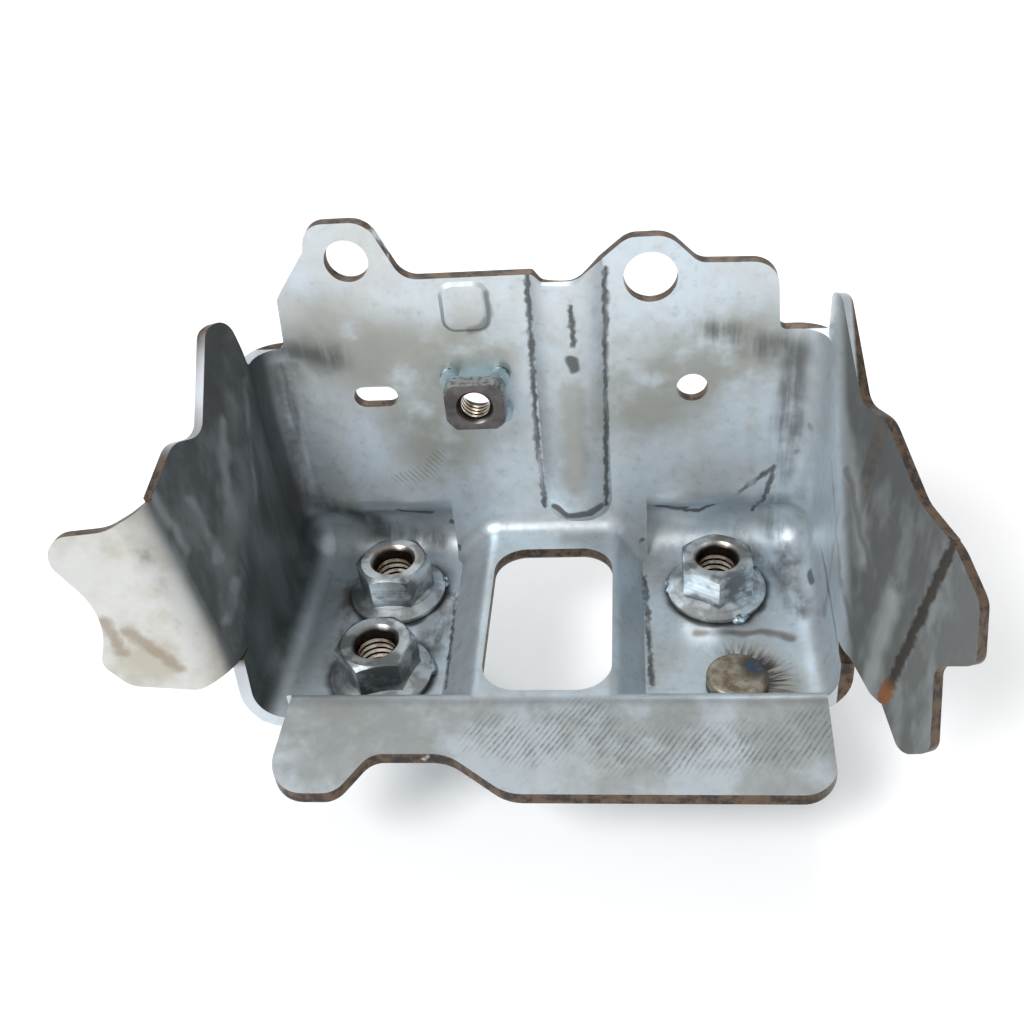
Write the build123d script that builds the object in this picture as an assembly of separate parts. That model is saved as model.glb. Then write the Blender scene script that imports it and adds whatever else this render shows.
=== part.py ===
from build123d import *
import os
from math import cos, radians, sin, tan

os.makedirs("parts", exist_ok=True)

# A pressed steel reinforcement bracket for the end of a bumper beam, with its weld nuts and weld bolt.
# Millimetres. The origin is on the weld bolt's axis at the underside of the floor pads; +X is to the
# right, +Y is back towards the tall wall and +Z is up.

# Sheet and bend radii, all of them on the upper, inner face of the sheet
SHEET = 2.6
UPRIGHT_CORNER = 6.0
FLOOR_EDGE = 6.5
REAR_BEND = 4.0
BAND_CREST = 4.0
RIB_CREST = 2.6

# The tray: a rear wall, two side walls and the floor pads, with a shallow pocket behind each pad
TRAY_WIDTH = 118.7
RIGHT_X = 19.4
LEFT_X = RIGHT_X - TRAY_WIDTH
WALL_Y = 42.7
SIDE_TOP = 61.1
POCKET_DEPTH = 4.5
POCKET_HEIGHT = 15.0
POCKET_STEP = 9.9
POCKET_BEND = 6.5
POCKET_GAP = 1.2
LEFT_LIP_Y = -8.5
RIGHT_LIP_Y = -5.0
LIP_Z = 1.0
LIP_CORNER = 2.0

# The raised band across the floor, the rib along its front and the sloping front flange
RAISE = 8.5
BAND_FOOT_LEFT = -61.2
BAND_TOP_LEFT = -53.5
BAND_TOP_RIGHT = -24.4
BAND_FOOT_RIGHT = -18.6
RIB_Y = -8.3
FOLD_Y = -10.5
FLANGE_SLOPE = 15.0
FLANGE_Y = -30.2
FLANGE_LEFT = -92.2
FLANGE_RIGHT = 16.5
FLANGE_WAIST = 2.6
FLANGE_CORNER = 7.0
SCALLOP_Y = -22.4
SCALLOP_LEFT = -72.0
SCALLOP_RIGHT = -57.0
SCALLOP_SLOPE = 6.0
SCALLOP_CORNER = 5.0

# The window in the raised band
WINDOW_LEFT = -51.7
WINDOW_RIGHT = -25.3
WINDOW_FRONT = -8.9
WINDOW_REAR = 34.6
WINDOW_CORNER = 7.2

# Rear wall: its top edge and the two rounded ears rise above the side walls; two more holes, bead and boss
WALL_TOP = SIDE_TOP + 14.6
BEAD_TOP = SIDE_TOP + 12.8
LEFT_EAR = (-76.4, SIDE_TOP + 19.2)
RIGHT_EAR = (-15.8, SIDE_TOP + 12.8)
LEFT_EAR_HOLE = 4.5
RIGHT_EAR_HOLE = 5.4
LEFT_SHOULDER = -93.2
RIGHT_SHOULDER = 10.1
SHOULDER_CORNER = 1.5
SMALL_HOLE = (-7.4, 48.0)
SMALL_HOLE_RADIUS = 3.3
SLOT = (-75.4, 48.3)
SLOT_LENGTH = 9.7
SLOT_WIDTH = 5.0
BEAD_X = -32.7
BEAD_RADIUS = 13.4
BEAD_RISE = 2.3
BEAD_END = 19.6
BEAD_SHOULDER = 6.6
BEAD_DIP = 4.9
BOSS = (-53.6, 69.1)
BOSS_WIDTH = 10.4
BOSS_HEIGHT = 11.4
BOSS_RISE = 0.5
BOSS_CORNER = 3.0
BOSS_TAPER = 60.0

# Corners of the wall's top edge (out, up, radius), from the centre of the ear hole that they belong to
LEFT_EAR_EDGE = [
    (-16.0, -7.7, 3.0), (-8.6, 2.2, 3.0), (-7.2, 8.1, 4.5), (5.1, 8.1, 5.5),
]
RIGHT_EAR_EDGE = [
    (-4.4, 8.7, 5.0), (3.6, 8.7, 6.0), (9.5, 2.7, 4.0), (24.9, 2.2, 5.5),
]
LEFT_EAR_FOOT = 10.8
RIGHT_EAR_FOOT = 14.8
EAR_FOOT_CORNER = 5.0

# Wings: each side wall bends outwards about a slanting line, and a tab bends outwards again at its front.
# A bend line's ends are (y, z) on the side wall, or (forward, up) in the plane of the wing.
WING_BEND = 5.0
TAB_BEND = 6.0
LAP = 0.5
LEFT_WING_LINE = ((35.2, 62.6), (-6.2, 17.4))
LEFT_WING_TURN = 30.0
LEFT_TAB_LINE = ((41.2, -11.8), (44.2, -44.7))
LEFT_TAB_TURN = 57.0
LEFT_NOTCH_Z = 17.4
RIGHT_WING_LINE = ((31.0, 59.6), (-4.0, 12.8))
RIGHT_WING_TURN = 34.0
RIGHT_TAB_LINE = ((41.3, -16.3), (43.1, -49.1))
RIGHT_TAB_TURN = 4.0
RIGHT_NOTCH_Z = 12.8

# Outlines as corners (forward, up, radius) for a wing and (along its bend line, out, radius) for a tab
LEFT_WING_EDGE = [
    (-28.0, -1.2, 0), (-0.5, -1.2, 1.0), (-1.2, 10.0, 3.6), (5.2, 10.1, 3.5), (18.9, -6.3, 4.0),
    (25.8, -3.7, 4.5), (36.1, -9.3, 0), (54.0, -19.1, 0), (54.0, -47.2, 0), (-28.0, -47.2, 0),
]
RIGHT_WING_EDGE = [
    (-28.0, 2.5, 0), (-8.4, 2.5, 0), (-8.6, 12.0, 2.2), (-4.8, 12.0, 3.0), (10.1, -3.5, 5.0),
    (17.0, -3.2, 6.0), (31.7, -12.3, 10.0), (50.0, -16.4, 0), (50.0, -49.4, 0), (39.5, -49.8, 3.0),
    (32.1, -47.2, 0), (-28.0, -47.2, 0),
]
LEFT_TAB_EDGE = [
    (-3.7, -9.1, 0), (-0.8, 7.0, 8.0), (-4.5, 22.4, 4.5), (15.1, 14.8, 14.0), (24.5, 20.8, 3.0),
    (30.8, 17.6, 5.0), (36.5, 5.3, 5.0), (34.4, -8.7, 0),
]
RIGHT_TAB_EDGE = [
    (-4.9, -8.6, 0), (-1.2, 1.4, 12.0), (4.6, 9.4, 5.0), (14.8, 13.5, 2.5), (19.9, 6.4, 2.5),
    (34.8, 12.5, 3.0), (39.3, 7.2, 3.0), (28.8, -5.9, 0),
]

# Flange weld nuts on the pads: (x, y, turn)
NUT_SPOTS = {
    "rear_left_weld_nut": (-75.1, 29.75, 0.0),
    "front_left_weld_nut": (-74.7, 3.5, 12.0),
    "rear_right_weld_nut": (-2.3, 29.0, 30.0),
}
NUT_FLATS = 15.0
NUT_HEIGHT = 10.3
NUT_FLANGE_RADIUS = 10.9
NUT_FLANGE_EDGE = 1.3
NUT_FLANGE_RISE = 1.6
NUT_TOP_RADIUS = 7.2
NUT_CROWN = 0.6
NUT_BORE = 4.25
NUT_MOUTH = 5.17
NUT_CLEARANCE = 5.6

# Square weld nut on the rear wall
SQUARE_NUT = (-53.05, 48.8)
SQUARE_NUT_WIDTH = 12.6
SQUARE_NUT_HEIGHT = 10.8
SQUARE_NUT_DEPTH = 6.5
SQUARE_NUT_CORNER = 2.0
SQUARE_NUT_CROWN = 6.9
SQUARE_NUT_SLOPE = 1.7
SQUARE_NUT_BORE = 3.35
SQUARE_NUT_MOUTH = 4.0
SQUARE_NUT_FOOT = 2.2
SQUARE_NUT_FOOT_DEPTH = 2.6
SQUARE_NUT_CLEARANCE = 4.6

# Weld bolt through the pad, head up
BOLT_HEAD_RADIUS = 6.35
BOLT_HEAD_HEIGHT = 3.5
BOLT_HEAD_EDGE = 1.2
BOLT_RADIUS = 4.0
BOLT_LENGTH = 22.0
BOLT_CHAMFER = 1.0
BOLT_NECK = 3.8
BOLT_HOLE = 4.2

FAR = 200.0
DEEP = 20.0
FRONT = Vector(0, -1, 0)
UP = Vector(0, 0, 1)


def rounded(corners):
    """A face through the corners (x, y, radius), each one rounded by its own radius."""
    face = Polygon(*[(x, y) for x, y, radius in corners], align=None)
    for x, y, radius in corners:
        if radius > 0:
            face = fillet(face.vertices().sort_by_distance((x, y, 0))[0], radius)
    return face


def across(face, x0=-FAR, x1=FAR):
    """A face drawn in Y and Z, carried from x0 to x1."""
    return extrude(Pos(x0, 0, 0) * (Plane.YZ * face), amount=x1 - x0, dir=(1, 0, 0))


def lengthways(face, y0=-FAR, y1=FAR):
    """A face drawn in X and Z, carried from y0 to y1."""
    return extrude(Pos(0, y0, 0) * (Plane.XZ * face), amount=y1 - y0, dir=(0, 1, 0))


def upright(face, z0=-FAR, z1=FAR):
    """A face drawn in X and Y, carried from z0 to z1."""
    return extrude(Pos(0, 0, z0) * face, amount=z1 - z0, dir=(0, 0, 1))


def tray_space(grow):
    """The space inside the tray; grown by the sheet thickness it is the outer skin."""
    pocket = WALL_Y + POCKET_DEPTH
    foot = (pocket, SHEET + POCKET_STEP, POCKET_BEND + grow)
    head = (WALL_Y, SHEET + POCKET_HEIGHT, POCKET_BEND - grow)
    side = Polygon((-FAR, SHEET), (pocket, SHEET), foot[:2], head[:2], (WALL_Y, FAR), (-FAR, FAR), align=None)
    side = offset(side, grow, kind=Kind.INTERSECTION)
    for y, z, radius in (foot, head):
        side = fillet(side.vertices().sort_by_distance((y, z, 0))[0], radius)
    space = across(side, LEFT_X - grow, RIGHT_X + grow)
    behind = space.faces().sort_by(Axis.X)[0].edges() + space.faces().sort_by(Axis.X)[-1].edges()
    behind = behind.filter_by(lambda e: (e @ 0.5).Y > WALL_Y - 1 and abs((e @ 0).Z - (e @ 1).Z) > 1)
    space = fillet(behind, UPRIGHT_CORNER + grow)
    floor = space.edges().group_by(Axis.Z)[0].filter_by(lambda e: (e @ 0.5).Y > -FAR)
    return fillet(floor, FLOOR_EDGE + grow)


def raised_floor(grow):
    """What lies under the band, and under the front rib and flange, as two solids."""
    top = SHEET + RAISE
    low = SHEET - DEEP
    left = (BAND_TOP_LEFT - BAND_FOOT_LEFT) * DEEP / RAISE
    right = (BAND_FOOT_RIGHT - BAND_TOP_RIGHT) * DEEP / RAISE
    drop = tan(radians(FLANGE_SLOPE))
    band = Polygon((BAND_FOOT_LEFT - left, low), (BAND_TOP_LEFT, top), (BAND_TOP_RIGHT, top),
                   (BAND_FOOT_RIGHT + right, low), align=None)
    rib = Polygon((RIB_Y, low), (RIB_Y, top + (RIB_Y - FOLD_Y) * drop), (FOLD_Y - FAR, top - FAR * drop),
                  (FOLD_Y - FAR, low - FAR), (RIB_Y, low - FAR), align=None)
    over_flange = Polygon((FOLD_Y + FAR, top + FAR * drop), (FOLD_Y - FAR, top - FAR * drop),
                          (FOLD_Y - FAR, FAR), align=None)
    solids = []
    for face, carry, crest in ((band, lengthways, BAND_CREST), (rib, across, RIB_CREST)):
        face = offset(face, -grow, kind=Kind.INTERSECTION)
        if grow == 0:
            tops = face.vertices().filter_by(lambda v: abs(v.X) < FAR / 2 and v.Y > SHEET)
            face = fillet(tops, crest)
        solids.append(carry(face))
    solids[0] -= across(offset(over_flange, grow, kind=Kind.INTERSECTION))
    return solids


def skin(grow):
    """One face of the pressing, as the solid space above it."""
    band, rib = raised_floor(grow)
    middle = Box(BAND_FOOT_RIGHT - BAND_FOOT_LEFT + 2 * (POCKET_GAP - grow), FAR, 2 * FAR,
                 align=(Align.CENTER, Align.MIN, Align.CENTER))
    space = tray_space(grow)
    space -= Pos((BAND_FOOT_LEFT + BAND_FOOT_RIGHT) / 2, WALL_Y + grow, 0) * middle
    space = space - band - rib
    level = SHEET + RAISE - grow
    bend = space.edges().filter_by(lambda e: abs((e @ 0.5).Y - WALL_Y - grow) < 0.01)
    bend = bend.filter_by(lambda e: abs((e @ 0.5).Z - level) < 0.01)
    return fillet(bend, REAR_BEND + grow) - bead(grow) - boss(grow)


def rear_wall_outline():
    """What stays of the sheet seen from the front: side wall tops, shoulders, ears and the bead's top."""
    left, right = [[(x + out, z + up, radius) for out, up, radius in edge]
                   for (x, z), edge in ((LEFT_EAR, LEFT_EAR_EDGE), (RIGHT_EAR, RIGHT_EAR_EDGE))]
    return rounded([
        (-FAR, SIDE_TOP, 0),
        (LEFT_SHOULDER, SIDE_TOP, SHOULDER_CORNER),
        *left,
        (LEFT_EAR[0] + LEFT_EAR_FOOT, WALL_TOP, EAR_FOOT_CORNER),
        (BEAD_X - BEAD_SHOULDER, WALL_TOP, SHOULDER_CORNER),
        (BEAD_X - BEAD_DIP, BEAD_TOP, SHOULDER_CORNER),
        (RIGHT_EAR[0] - RIGHT_EAR_FOOT, BEAD_TOP, EAR_FOOT_CORNER),
        *right,
        (RIGHT_SHOULDER, SIDE_TOP, SHOULDER_CORNER),
        (FAR, SIDE_TOP, 0),
        (FAR, -FAR, 0),
        (-FAR, -FAR, 0),
    ])


def floor_outline():
    """What stays of the sheet seen from above: everything behind the lips, and the flange between them."""
    return rounded([
        (-FAR, FAR, 0),
        (-FAR, LEFT_LIP_Y, 0),
        (FLANGE_LEFT + FLANGE_WAIST, LEFT_LIP_Y, LIP_CORNER),
        (FLANGE_LEFT, FLANGE_Y, FLANGE_CORNER),
        (SCALLOP_LEFT - SCALLOP_SLOPE, FLANGE_Y, SCALLOP_CORNER),
        (SCALLOP_LEFT, SCALLOP_Y, SCALLOP_CORNER),
        (SCALLOP_RIGHT, SCALLOP_Y, 2 * SCALLOP_CORNER),
        (SCALLOP_RIGHT + 2 * SCALLOP_SLOPE, FLANGE_Y, 2 * SCALLOP_CORNER),
        (FLANGE_RIGHT, FLANGE_Y, FLANGE_CORNER),
        (FLANGE_RIGHT, RIGHT_LIP_Y, LIP_CORNER),
        (FAR, RIGHT_LIP_Y, 0),
        (FAR, FAR, 0),
    ])


def window():
    """The opening through the raised band, with rounded corners."""
    face = RectangleRounded(WINDOW_RIGHT - WINDOW_LEFT, WINDOW_REAR - WINDOW_FRONT, WINDOW_CORNER)
    return upright(Pos((WINDOW_LEFT + WINDOW_RIGHT) / 2, (WINDOW_FRONT + WINDOW_REAR) / 2) * face)


def wall_hole(x, z, radius):
    return lengthways(Pos(x, z) * Circle(radius), WALL_Y - SHEET, WALL_Y + 2 * SHEET)


def pad_hole(x, y, radius):
    return upright(Pos(x, y) * Circle(radius), -SHEET, 2 * SHEET)


def bent(start, end, normal, turn, radius, back):
    """A strip of sheet bent by one turn about the line from start to end on its inner face."""
    ahead = (end - start).normalized().cross(normal)
    if ahead.dot(FRONT) < 0:
        ahead = -ahead
    near = (radius + SHEET) * tan(radians(turn) / 2)
    middle = Vector(-near, radius + SHEET)
    out = Vector(cos(radians(turn)), sin(radians(turn)))
    side = Vector(-out.Y, out.X)
    inner_end = middle - side * (radius + SHEET)
    outer_end = middle - side * radius
    section = make_face([
        Line((-near - back, 0), (-near, 0)),
        CenterArc(middle, radius + SHEET, -90, turn),
        Line(inner_end, inner_end + out * FAR),
        Line(inner_end + out * FAR, outer_end + out * FAR),
        Line(outer_end + out * FAR, outer_end),
        CenterArc(middle, radius, -90, turn),
        Line((-near, SHEET), (-near - back, SHEET)),
        Line((-near - back, SHEET), (-near - back, 0)),
    ])
    frame = Plane(origin=start, x_dir=ahead, z_dir=ahead.cross(normal))
    strip = extrude(frame * section, amount=FAR, both=True)
    return strip, frame, near, ahead * out.X + normal * out.Y, normal * out.X - ahead * out.Y


def wing(wall_x, line, turn, edge, tab_line, tab_turn, tab_edge):
    """A wing with its tab, and the frame of the bend that carries it."""
    start, end = [Vector(wall_x, y, z) for y, z in line]
    normal = Vector(1 if wall_x > 0 else -1, 0, 0)
    strip, frame, near, ahead, normal = bent(start, end, normal, turn, WING_BEND, FAR / 4)
    lap = Box(FAR, FAR, 2 * FAR, align=(Align.MAX, Align.CENTER, Align.CENTER))
    below_top = Box(2 * FAR, 2 * FAR, 2 * FAR, align=(Align.CENTER, Align.CENTER, Align.MAX))
    lap = (frame * Pos(-near - LAP, 0, 0) * lap) & (Pos(0, 0, SIDE_TOP) * below_top)
    forward = UP.cross(normal).normalized()
    if forward.dot(FRONT) < 0:
        forward = -forward
    up = forward.cross(normal)
    if up.Z < 0:
        up = -up
    flat = Plane(origin=start, x_dir=forward, z_dir=forward.cross(up))
    piece = strip & extrude(flat * rounded(edge), amount=FAR / 8, both=True)
    piece -= lap
    tab_start, tab_end = [start + forward * f + up * u for f, u in tab_line]
    tab_strip, tab_frame, tab_near, out, normal = bent(tab_start, tab_end, normal, tab_turn, TAB_BEND, LAP)
    slab = Box(FAR, FAR, 2 * FAR, align=(Align.MIN, Align.CENTER, Align.CENTER))
    piece -= tab_frame * Pos(-tab_near - LAP / 2, 0, 0) * slab
    along = (tab_end - tab_start).normalized()
    tab_flat = Plane(origin=tab_start, x_dir=along, z_dir=along.cross(out))
    tab = tab_strip & extrude(tab_flat * rounded(tab_edge), amount=FAR / 8, both=True)
    return piece, tab, frame, near


def side_cuts(frame, near, notch_z, lip_y, x0, x1):
    """What the side wall loses: all of it ahead of the wing's bend, and the front under the notch."""
    slab = Box(FAR, 3 * SHEET, 2 * FAR, align=(Align.MIN, Align.CENTER, Align.CENTER))
    above = Pos(0, 0, notch_z) * Box(2 * FAR, 2 * FAR, FAR, align=(Align.CENTER, Align.CENTER, Align.MIN))
    ahead = (frame * Pos(-near - LAP / 2, SHEET / 2, 0) * slab) & above
    line = frame.z_dir
    notch_y = frame.origin.Y + line.Y * (notch_z - frame.origin.Z) / line.Z
    lip = rounded([(notch_y, FAR, 0), (notch_y, notch_z, 0), (lip_y, LIP_Z, LIP_CORNER), (-FAR, LIP_Z, 0),
                   (-FAR, FAR, 0)])
    return ahead, across(lip, x0, x1)


def bead(grow):
    """The half-round bead down the rear wall, with a rounded lower end."""
    radius = BEAD_RADIUS - grow
    top = Cylinder(radius, FAR, align=(Align.CENTER, Align.CENTER, Align.MIN))
    return Pos(BEAD_X, WALL_Y + BEAD_RADIUS - BEAD_RISE, BEAD_END) * (top + Sphere(radius))


def boss(grow):
    """The small flat boss pressed forwards out of the rear wall."""
    x, z = BOSS
    frame = Plane(origin=(x, WALL_Y + grow, z), x_dir=(1, 0, 0), z_dir=(0, -1, 0))
    face = frame * RectangleRounded(BOSS_WIDTH, BOSS_HEIGHT, BOSS_CORNER)
    return extrude(face, amount=BOSS_RISE, taper=BOSS_TAPER)


def holes():
    """Everything punched through the rear wall and the pads."""
    cuts = [
        wall_hole(*LEFT_EAR, LEFT_EAR_HOLE),
        wall_hole(*RIGHT_EAR, RIGHT_EAR_HOLE),
        wall_hole(*SMALL_HOLE, SMALL_HOLE_RADIUS),
        wall_hole(*SQUARE_NUT, SQUARE_NUT_CLEARANCE),
        lengthways(Pos(*SLOT) * SlotOverall(SLOT_LENGTH, SLOT_WIDTH), WALL_Y - SHEET, WALL_Y + 2 * SHEET),
        pad_hole(0, 0, BOLT_HOLE),
    ]
    for x, y, turn in NUT_SPOTS.values():
        cuts.append(pad_hole(x, y, NUT_CLEARANCE))
    return cuts


def stamping():
    """The whole pressing as one sheet."""
    sheet = skin(SHEET) - skin(0)
    sheet = sheet & lengthways(rear_wall_outline()) & upright(floor_outline())
    left, left_tab, left_frame, left_near = wing(
        LEFT_X, LEFT_WING_LINE, LEFT_WING_TURN, LEFT_WING_EDGE,
        LEFT_TAB_LINE, LEFT_TAB_TURN, LEFT_TAB_EDGE)
    right, right_tab, right_frame, right_near = wing(
        RIGHT_X, RIGHT_WING_LINE, RIGHT_WING_TURN, RIGHT_WING_EDGE,
        RIGHT_TAB_LINE, RIGHT_TAB_TURN, RIGHT_TAB_EDGE)
    cuts = [window()] + holes()
    cuts += side_cuts(left_frame, left_near, LEFT_NOTCH_Z, LEFT_LIP_Y, -FAR, FLANGE_LEFT + LAP)
    cuts += side_cuts(right_frame, right_near, RIGHT_NOTCH_Z, RIGHT_LIP_Y, FLANGE_RIGHT - LAP, FAR)
    for cut in cuts:
        sheet -= cut
    for piece in (left, left_tab, right, right_tab):
        sheet += piece
    return sheet


def flange_nut(x, y, turn):
    """A hexagon nut with a flange, seated on the pad."""
    hexagon = extrude(RegularPolygon(NUT_FLATS / 2, 6, major_radius=False), amount=NUT_HEIGHT)
    wide = NUT_TOP_RADIUS + NUT_HEIGHT / NUT_CROWN
    crown = Polygon((0, 0), (wide, 0), (NUT_TOP_RADIUS, NUT_HEIGHT), (0, NUT_HEIGHT), align=None)
    nut = hexagon & revolve(Plane.XZ * crown, Axis.Z)
    rise = NUT_FLANGE_EDGE + NUT_FLANGE_RISE
    flange = Polygon((0, 0), (NUT_FLANGE_RADIUS, 0), (NUT_FLANGE_RADIUS, NUT_FLANGE_EDGE),
                     (NUT_FLATS / 2, rise), (0, rise), align=None)
    nut += revolve(Plane.XZ * flange, Axis.Z)
    sink = NUT_MOUTH - NUT_BORE
    bore = Polygon((0, 0), (NUT_MOUTH, 0), (NUT_BORE, sink), (NUT_BORE, NUT_HEIGHT - sink),
                   (NUT_MOUTH, NUT_HEIGHT), (0, NUT_HEIGHT), align=None)
    nut -= revolve(Plane.XZ * bore, Axis.Z)
    return Pos(x, y, SHEET) * Rot(0, 0, turn) * nut


def square_nut():
    """The square weld nut on the rear wall, with a weld lump under each corner."""
    body = RectangleRounded(SQUARE_NUT_WIDTH, SQUARE_NUT_HEIGHT, SQUARE_NUT_CORNER)
    body = extrude(body, amount=SQUARE_NUT_DEPTH)
    wide = SQUARE_NUT_CROWN + SQUARE_NUT_DEPTH / SQUARE_NUT_SLOPE
    crown = Polygon((0, 0), (wide, 0), (SQUARE_NUT_CROWN, SQUARE_NUT_DEPTH), (0, SQUARE_NUT_DEPTH),
                    align=None)
    nut = body & revolve(Plane.XZ * crown, Axis.Z)
    for spot in GridLocations(SQUARE_NUT_WIDTH - SQUARE_NUT_FOOT, SQUARE_NUT_HEIGHT - SQUARE_NUT_FOOT, 2, 2):
        foot = Cylinder(SQUARE_NUT_FOOT, SQUARE_NUT_FOOT_DEPTH, align=(Align.CENTER, Align.CENTER, Align.MIN))
        nut += spot * foot
    sink = SQUARE_NUT_MOUTH - SQUARE_NUT_BORE
    bore = Polygon((0, 0), (SQUARE_NUT_BORE, 0), (SQUARE_NUT_BORE, SQUARE_NUT_DEPTH - sink),
                   (SQUARE_NUT_MOUTH, SQUARE_NUT_DEPTH), (0, SQUARE_NUT_DEPTH), align=None)
    nut -= revolve(Plane.XZ * bore, Axis.Z)
    x, z = SQUARE_NUT
    return Plane(origin=(x, WALL_Y, z), x_dir=(1, 0, 0), z_dir=(0, -1, 0)) * nut


def weld_bolt():
    """The weld bolt: a low round head on the pad and a shank down through it."""
    top = SHEET + BOLT_HEAD_HEIGHT
    head = rounded([(0, SHEET, 0), (BOLT_HEAD_RADIUS, SHEET, 0), (BOLT_HEAD_RADIUS, top, BOLT_HEAD_EDGE),
                    (0, top, 0)])
    tip = SHEET - BOLT_LENGTH
    shank = Polygon((0, SHEET), (0, tip), (BOLT_RADIUS - BOLT_CHAMFER, tip),
                    (BOLT_RADIUS, tip + BOLT_CHAMFER), (BOLT_RADIUS, 0), (BOLT_NECK, 0), (BOLT_NECK, SHEET),
                    align=None)
    return revolve(Plane.XZ * head, Axis.Z) + revolve(Plane.XZ * shank, Axis.Z)


pieces = {name: flange_nut(*spot) for name, spot in NUT_SPOTS.items()}
pieces.update(bracket_stamping=stamping(), square_weld_nut=square_nut(), weld_bolt=weld_bolt())
for name, piece in pieces.items():
    export_step(piece, "parts/" + name + ".step")
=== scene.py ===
from math import cos, pi, radians, sin

import bpy
from mathutils import Matrix, Vector


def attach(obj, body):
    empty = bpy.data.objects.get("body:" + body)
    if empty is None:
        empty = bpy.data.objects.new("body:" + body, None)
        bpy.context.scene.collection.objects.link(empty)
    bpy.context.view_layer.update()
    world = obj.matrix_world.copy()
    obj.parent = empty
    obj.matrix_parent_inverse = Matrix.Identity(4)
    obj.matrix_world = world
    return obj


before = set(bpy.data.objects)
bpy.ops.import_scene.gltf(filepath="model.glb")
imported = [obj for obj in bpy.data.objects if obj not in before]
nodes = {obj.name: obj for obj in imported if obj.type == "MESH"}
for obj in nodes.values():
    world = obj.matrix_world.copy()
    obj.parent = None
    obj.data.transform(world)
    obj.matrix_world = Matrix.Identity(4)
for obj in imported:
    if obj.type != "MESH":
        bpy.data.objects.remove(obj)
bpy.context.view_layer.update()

MM = 0.001
IMAGE = 1024

# The photograph's camera
EYE = Vector((-19.05, -163.99, 177.10)) * MM
PITCH = 37.52
YAW = -7.80
ROLL = 6.08
FOCAL = 1135.96
CENTRE = (516.44, 507.92)
SENSOR = 36.0

FLOOR_Z = -19.45

# The bracket's sizes, as in its source, in millimetres
SHEET = 2.6
WALL_Y = 42.7
LEFT_X = -99.3
RIGHT_X = 19.4
FLANGE_SLOPE = 15.0
NUTS = {"rear_left_weld_nut": (-75.1, 29.75), "front_left_weld_nut": (-74.7, 3.5),
        "rear_right_weld_nut": (-2.3, 29.0)}
NUT_HEIGHT = 10.3
NUT_FLANGE_RADIUS = 10.9
NUT_BORE = 4.25
NUT_MOUTH = 5.17
NUT_FLATS = 15.0
SQUARE_NUT = (-53.05, 48.8)
SQUARE_NUT_DEPTH = 6.5
SQUARE_NUT_BORE = 3.35
BOLT_HEAD_HEIGHT = 3.5
BOLT_RADIUS = 4.0
BOLT_LENGTH = 22.0

# Colours of the metal and of what lies on it
BLUE_STEEL = (0.60, 0.68, 0.74)
GREY_STEEL = (0.52, 0.56, 0.58)
BEIGE = (0.43, 0.42, 0.36)
PALE = (0.76, 0.77, 0.76)
CHARCOAL = (0.055, 0.060, 0.062)
SMOKE = (0.16, 0.175, 0.18)
SOOT_AND_SHADE = (0.018, 0.017, 0.016)
BROWN = (0.13, 0.085, 0.055)
RUST = (0.30, 0.13, 0.06)
NIGHT_BLUE = (0.05, 0.09, 0.15)
ZINC = (0.42, 0.56, 0.62)
OIL_STAIN = (0.33, 0.335, 0.30)
WING_SHADE = (0.035, 0.037, 0.035)
RIGHT_WING_DARK = (0.12, 0.126, 0.12)
RIGHT_WING_PALE = (0.26, 0.28, 0.29)
TAB_PALE = (0.62, 0.63, 0.62)
TAB_BEIGE = (0.48, 0.46, 0.40)
LEFT_SHEEN = (0.34, 0.37, 0.38)
RIGHT_SHEEN = (0.50, 0.53, 0.54)
FLANGE_FILM = (0.27, 0.28, 0.27)
RIPPLE_BROWN = (0.20, 0.16, 0.11)
HEAT_STRAW = (0.36, 0.28, 0.18)
GLINT_STRAW = (0.75, 0.68, 0.52)
FOLD_BROWN = (0.30, 0.24, 0.18)
BEND_BLACK = (0.05, 0.042, 0.035)
CUT_EDGE_SHADE = (0.03, 0.026, 0.024)
CUT_EDGE_HIGHLIGHT = (0.60, 0.64, 0.68)
NUT_BRIGHT = (0.62, 0.66, 0.69)
NUT_DARK = (0.19, 0.205, 0.215)
NUT_SKIRT = (0.60, 0.62, 0.62)
NUT_BORE_SHADE = (0.022, 0.016, 0.012)
THREAD_BRIGHT = (0.66, 0.58, 0.48)
THREAD_OIL = (0.25, 0.16, 0.10)
PHOSPHATE = (0.15, 0.135, 0.13)
PHOSPHATE_DARK = (0.085, 0.08, 0.08)
SQUARE_NUT_LIT_TOP = (0.22, 0.23, 0.25)
SQUARE_NUT_WORN = (0.52, 0.55, 0.57)
SQUARE_NUT_BORE_SHADE = (0.02, 0.016, 0.014)
BOLT_STRAW = (0.40, 0.37, 0.30)
BOLT_BROWN = (0.20, 0.15, 0.10)
BOLT_BURNT = (0.06, 0.045, 0.035)
BOLT_SHANK = (0.36, 0.38, 0.40)
WELD_BRIGHT = (0.50, 0.60, 0.66)
WELD_DARK = (0.10, 0.13, 0.16)

# For each flange nut: its heat tint, how strong the brown painted shade on its side away from the light is
# and where its weld lumps are, in degrees
NUT_LOOKS = {
    "rear_left_weld_nut": ((0.50, 0.36, 0.24), 0.8, (20, 140, 255)),
    "front_left_weld_nut": ((0.22, 0.20, 0.18), 0.7, (10, 130, 250)),
    "rear_right_weld_nut": ((0.48, 0.40, 0.32), 0.35, (35, 172, 296)),
}

# Threads: the pitches, how far a ridge is sunk into the metal and how far it stands out
NUT_PITCH = 1.5
M8_PITCH = 1.25
THREAD_SUNK = 0.1
THREAD_WIDTH = 0.6
THREAD_STEPS = 48
TRIANGLE_HEIGHT = 1.5
TRIANGLE_SIDE = 1.732

# Light and floor
WORLD_STRENGTH = 0.58
LIGHT_AIM = (-0.04, 0, 0.02)
KEY_POWER = 28
RIM_POWER = 16
FLOOR_SIZE = 6


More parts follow.
